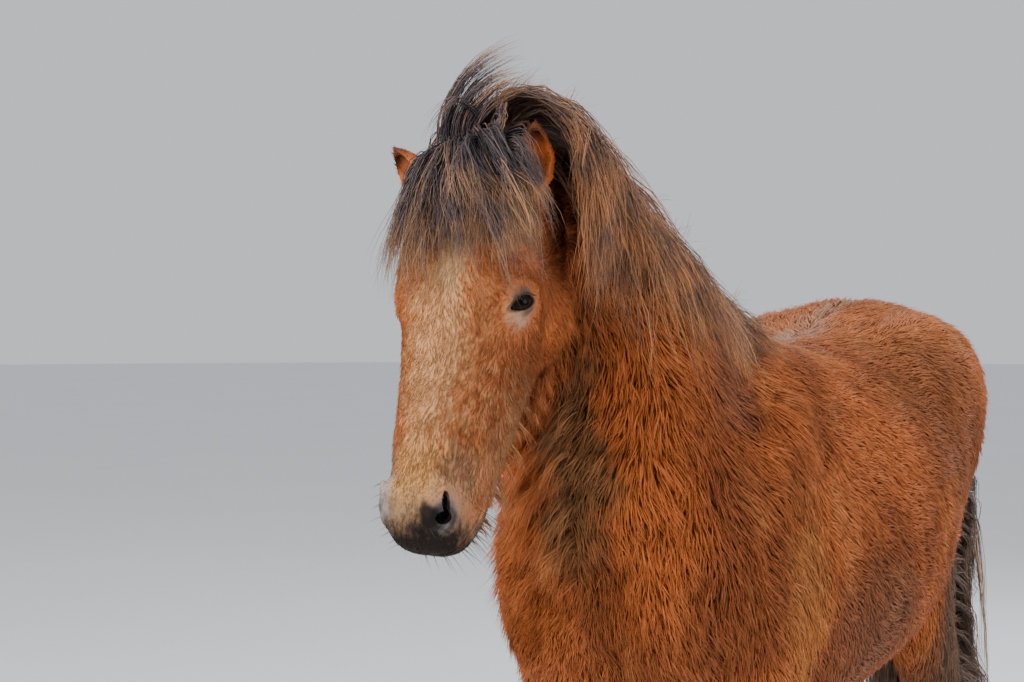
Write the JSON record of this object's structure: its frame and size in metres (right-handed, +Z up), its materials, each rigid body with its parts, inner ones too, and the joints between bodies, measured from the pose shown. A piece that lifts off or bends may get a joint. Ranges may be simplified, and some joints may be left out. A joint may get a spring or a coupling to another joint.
{
  "type": "icelandic horse",
  "caption": "Life-size standing Icelandic horse in a thick chestnut winter coat, with a windblown forelock, a full mane and a long tail.",
  "frame": {"origin": "on the floor under the middle of the whole model", "axes": "+Z up, the horse looks along -Y, +X is its left side"},
  "size_m": [0.599, 1.8822, 1.7036],
  "materials": {
    "body_coat": "long, damp chestnut winter hair",
    "face_coat": "short chestnut hair with a faint pale blaze",
    "ear_coat": "short chestnut hair with a dark tip",
    "tail_hair": "long, matted dark brown hair",
    "eye": "wet and glossy, almost black",
    "hoof": "dull dark horn"
  },
  "bodies": {
    "root": {"head": "face_coat", "neck": "body_coat", "torso": "body_coat", "tail": "tail_hair", "ear_left": "ear_coat", "eye_left": "eye", "ear_right": "ear_coat", "eye_right": "eye", "foreleg_left": "body_coat", "foreleg_cannon_left": "body_coat", "foreleg_hoof_left": "hoof", "hindleg_left": "body_coat", "hindleg_cannon_left": "body_coat", "hindleg_hoof_left": "hoof", "foreleg_right": "body_coat", "foreleg_cannon_right": "body_coat", "foreleg_hoof_right": "hoof", "hindleg_right": "body_coat", "hindleg_cannon_right": "body_coat", "hindleg_hoof_right": "hoof"}
  },
  "joints": []
}
